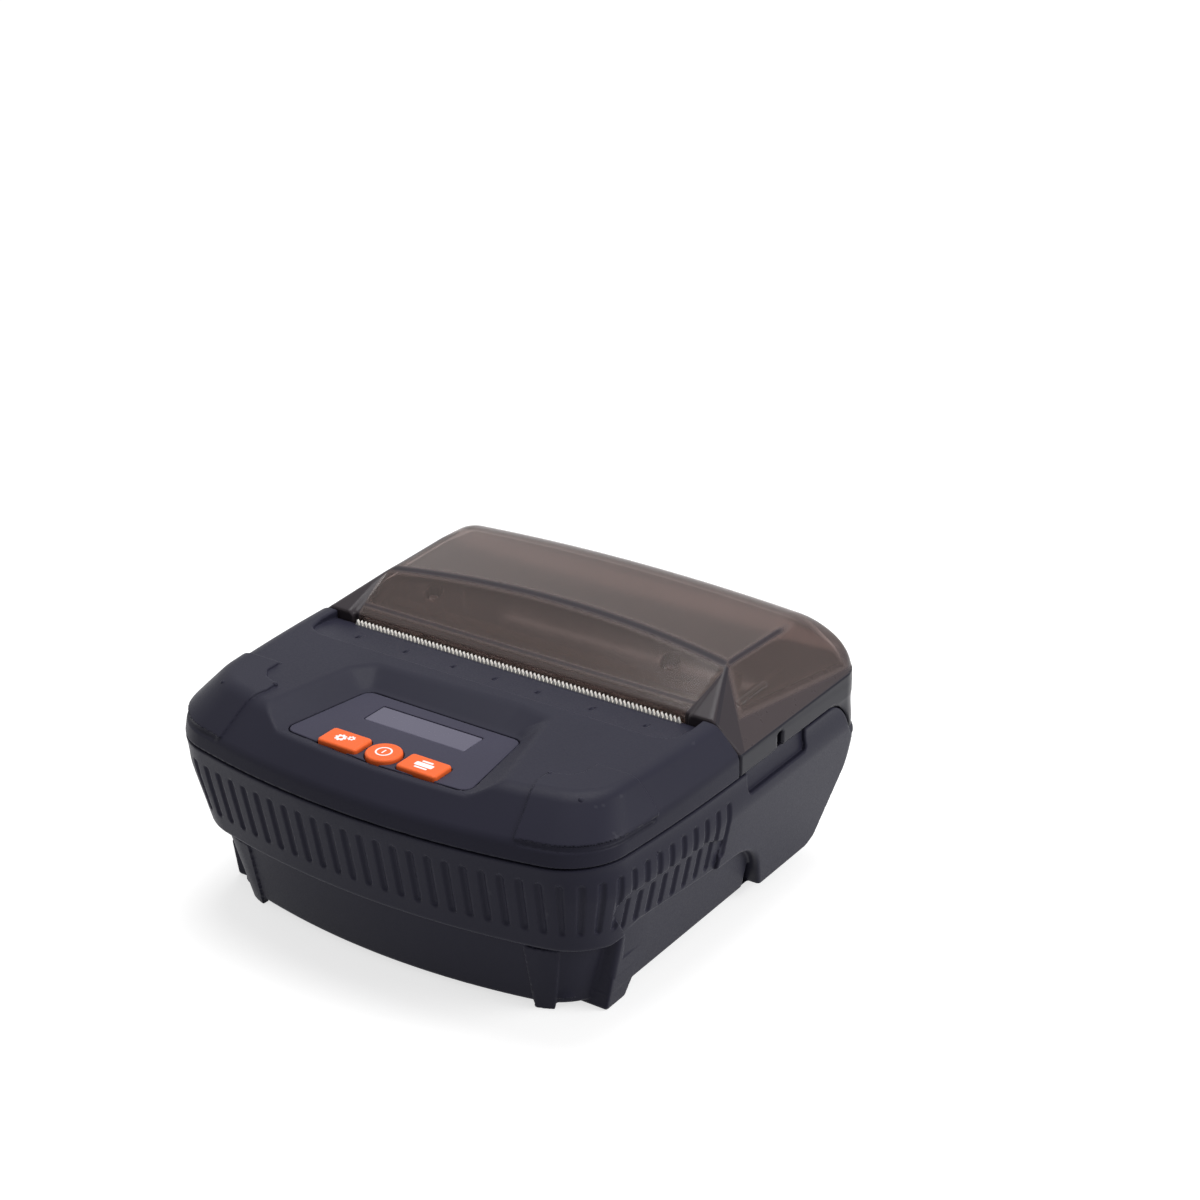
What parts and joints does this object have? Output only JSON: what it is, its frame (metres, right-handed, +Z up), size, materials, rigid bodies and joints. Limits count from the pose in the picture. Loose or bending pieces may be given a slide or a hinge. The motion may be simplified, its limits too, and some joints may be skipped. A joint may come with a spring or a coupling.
{
  "type": "mobile receipt printer",
  "caption": "Low mobile thermal receipt printer: ribbed black shells, control console with display window and orange keys, and a hinged smoke roll cover.",
  "frame": {"origin": "on the table under the middle of the overall box", "axes": "+X to the right seen from the front, +Y from the console to the roll cover, +Z up"},
  "size_m": [0.113, 0.106, 0.0554],
  "materials": {
    "case_plastic": "fine matt grain",
    "console_plastic": "fine matt grain",
    "smoke_cover": "glossy smoke-brown, see-through",
    "plate": "smooth",
    "lens": "glossy",
    "display": "glossy",
    "keys": "satin",
    "domes": "bright",
    "board": "solder mask",
    "tear_steel": "bright",
    "frame_steel": "black",
    "head_aluminium": "milled",
    "head_ceramic": "glazed",
    "pin_steel": "ground",
    "spring_steel": "drawn",
    "motor_steel": "zinc plated",
    "pinion_brass": "cut",
    "gear_nylon": "natural",
    "platen_rubber": "ground rubber",
    "bush_nylon": "natural",
    "carrier_plastic": "smooth",
    "bay_plastic": "smooth",
    "sensor_plastic": "glossy",
    "battery_wrap": "shrink wrap",
    "screw_steel": "zinc plated",
    "port_steel": "tin plated",
    "foot_rubber": "matt"
  },
  "bodies": {
    "case": {"lower_case": "case_plastic", "upper_case": "console_plastic", "control_plate": "plate", "display_lens": "lens", "display_panel": "display", "key_domes": "domes", "key_board": "board", "tear_bar": "tear_steel", "mechanism_frame": "frame_steel", "head_pin": "pin_steel", "head_springs": "spring_steel", "stepper_motor": "motor_steel", "idler_pin": "pin_steel", "hinge_pins": "pin_steel", "paper_bay": "bay_plastic", "paper_sensor": "sensor_plastic", "main_board": "board", "battery_pack": "battery_wrap", "battery_door": "case_plastic", "door_screws": "screw_steel", "case_screws": "screw_steel", "frame_screws": "screw_steel", "board_screws": "screw_steel", "port_board": "board", "usb_port": "port_steel", "rubber_feet": "foot_rubber"},
    "cover": {"roll_cover": "smoke_cover", "platen_carrier": "carrier_plastic", "platen_bushes": "bush_nylon", "carrier_screws": "screw_steel"},
    "platen": {"platen_rubber": "platen_rubber", "platen_shaft": "pin_steel", "platen_gear": "gear_nylon"},
    "idler": {"idler_gear": "gear_nylon"},
    "motor_rotor": {"motor_pinion": "pinion_brass"},
    "head": {"head_plate": "head_aluminium", "print_head": "head_ceramic"},
    "settings_key": {"settings_button": "keys"},
    "power_key": {"power_button": "keys"},
    "feed_key": {"feed_button": "keys"}
  },
  "joints": [
    {"name": "cover_hinge", "type": "hinge", "parent": "case", "child": "cover", "pos_m": [0, 0.0493, 0.0265], "axis": [-1, 0, 0], "range_deg": [0, 90]},
    {"name": "platen_spin", "type": "hinge", "parent": "cover", "child": "platen", "pos_m": [0, 0.0074, 0.0385], "axis": [1, 0, 0], "continuous": true},
    {"name": "idler_spin", "type": "hinge", "parent": "case", "child": "idler", "pos_m": [0, 0.00478, 0.02937], "axis": [1, 0, 0], "continuous": true},
    {"name": "motor_spin", "type": "hinge", "parent": "case", "child": "motor_rotor", "pos_m": [0, -0.00435, 0.0253], "axis": [1, 0, 0], "continuous": true},
    {"name": "head_pivot", "type": "hinge", "parent": "case", "child": "head", "pos_m": [0, 0.0001, 0.0336], "axis": [1, 0, 0], "range_deg": [0, 1.5], "stiffness_Nm_per_rad": 0.2, "springref_deg": -5.73},
    {"name": "settings_press", "type": "slide", "parent": "case", "child": "settings_key", "axis": [0, 0, -1], "range_m": [0, 0.0008], "stiffness_N_per_m": 1000, "springref_m": -0.0005},
    {"name": "power_press", "type": "slide", "parent": "case", "child": "power_key", "axis": [0, 0, -1], "range_m": [0, 0.0008], "stiffness_N_per_m": 1000, "springref_m": -0.0005},
    {"name": "feed_press", "type": "slide", "parent": "case", "child": "feed_key", "axis": [0, 0, -1], "range_m": [0, 0.0008], "stiffness_N_per_m": 1000, "springref_m": -0.0005}
  ],
  "couplings": [
    {"joint": "idler_spin", "follows": "platen_spin", "ratio": -1.375},
    {"joint": "motor_spin", "follows": "platen_spin", "ratio": 3.2083}
  ]
}
